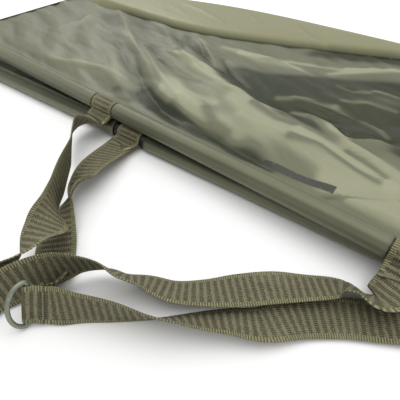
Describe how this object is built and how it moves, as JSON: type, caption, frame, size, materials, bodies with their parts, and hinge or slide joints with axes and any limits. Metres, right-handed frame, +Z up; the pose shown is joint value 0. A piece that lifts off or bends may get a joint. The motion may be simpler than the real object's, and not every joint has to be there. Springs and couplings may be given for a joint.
{
  "type": "weigh sling",
  "caption": "Long folded fish weighing sling of coated cloth with two stiffening poles in hem sleeves, webbing carry handles and metal D-rings to hang it from a scale.",
  "frame": {"origin": "middle of the underside of the folded sling's bounding box, on the floor", "axes": "+X along the upper pole towards the right-hand end, +Y from the poles to the base gusset, +Z up"},
  "size_m": [1.264, 0.7256, 0.0496],
  "materials": {
    "coated_cloth": "satin water-repellent coated cloth",
    "gusset_cloth": "satin coated cloth, a little browner",
    "binding_tape": "matt woven tape",
    "webbing": "coarse ribbed polypropylene webbing",
    "pole_tube": "black composite tube",
    "cap_plastic": "matt black moulding",
    "ring_metal": "grey-green coated steel wire"
  },
  "bodies": {
    "lower_side": {"lower_panel": "coated_cloth", "base_gusset": "gusset_cloth", "lower_sleeve_left": "coated_cloth", "lower_sleeve_centre": "coated_cloth", "lower_sleeve_right": "coated_cloth", "lower_binding_left": "binding_tape", "lower_binding_right": "binding_tape"},
    "upper_side": {"upper_panel": "coated_cloth", "upper_sleeve_left": "coated_cloth", "upper_sleeve_centre": "coated_cloth", "upper_sleeve_right": "coated_cloth", "upper_binding_left": "binding_tape", "upper_binding_right": "binding_tape"},
    "lower_pole": {"lower_pole_tube": "pole_tube", "lower_pole_cap_left": "cap_plastic", "lower_pole_cap_right": "cap_plastic"},
    "lower_strap": {"lower_loop_left": "webbing", "lower_loop_right": "webbing", "lower_web_left": "webbing", "lower_web_right": "webbing", "lower_ring_tab": "webbing"},
    "lower_ring": {"lower_d_ring": "ring_metal"},
    "upper_pole": {"upper_pole_tube": "pole_tube", "upper_pole_cap_left": "cap_plastic", "upper_pole_cap_right": "cap_plastic"},
    "upper_strap": {"upper_loop_left": "webbing", "upper_loop_right": "webbing", "upper_web_left": "webbing", "upper_web_right": "webbing", "upper_ring_tab": "webbing"},
    "upper_ring": {"upper_d_ring": "ring_metal"}
  },
  "joints": [
    {"name": "base_seam_hinge", "type": "hinge", "parent": "lower_side", "child": "upper_side", "pos_m": [-0.02474, 0.18275, 0.0366], "axis": [-1, 0, 0], "range_deg": [0, 100]},
    {"name": "upper_pole_spin", "type": "hinge", "parent": "upper_side", "child": "upper_pole", "pos_m": [-0.02474, -0.08225, 0.0332], "axis": [1, 0, 0], "continuous": true},
    {"name": "lower_pole_spin", "type": "hinge", "parent": "lower_side", "child": "lower_pole", "pos_m": [0.02526, -0.07472, 0.0111], "axis": [0.9984, 0.0565, 0], "continuous": true},
    {"name": "upper_strap_swing", "type": "hinge", "parent": "upper_side", "child": "upper_strap", "pos_m": [-0.02474, -0.08225, 0.0332], "axis": [-1, 0, 0], "range_deg": [0, 100]},
    {"name": "lower_strap_swing", "type": "hinge", "parent": "lower_side", "child": "lower_strap", "pos_m": [0.02526, -0.07472, 0.0111], "axis": [-0.9984, -0.0565, 0], "range_deg": [0, 20]},
    {"name": "upper_ring_turn", "type": "hinge", "parent": "upper_strap", "child": "upper_ring", "pos_m": [-0.07995, -0.34605, 0.01976], "axis": [-0.4317, 0.0761, 0.8988], "range_deg": [-45, 75]},
    {"name": "lower_ring_turn", "type": "hinge", "parent": "lower_strap", "child": "lower_ring", "pos_m": [-0.0488, -0.31112, 0.01926], "axis": [-0.2339, 0.4143, 0.8796], "range_deg": [-45, 75]}
  ],
  "couplings": [
    {"joint": "lower_strap_swing", "follows": "upper_strap_swing", "ratio": 0.2}
  ]
}
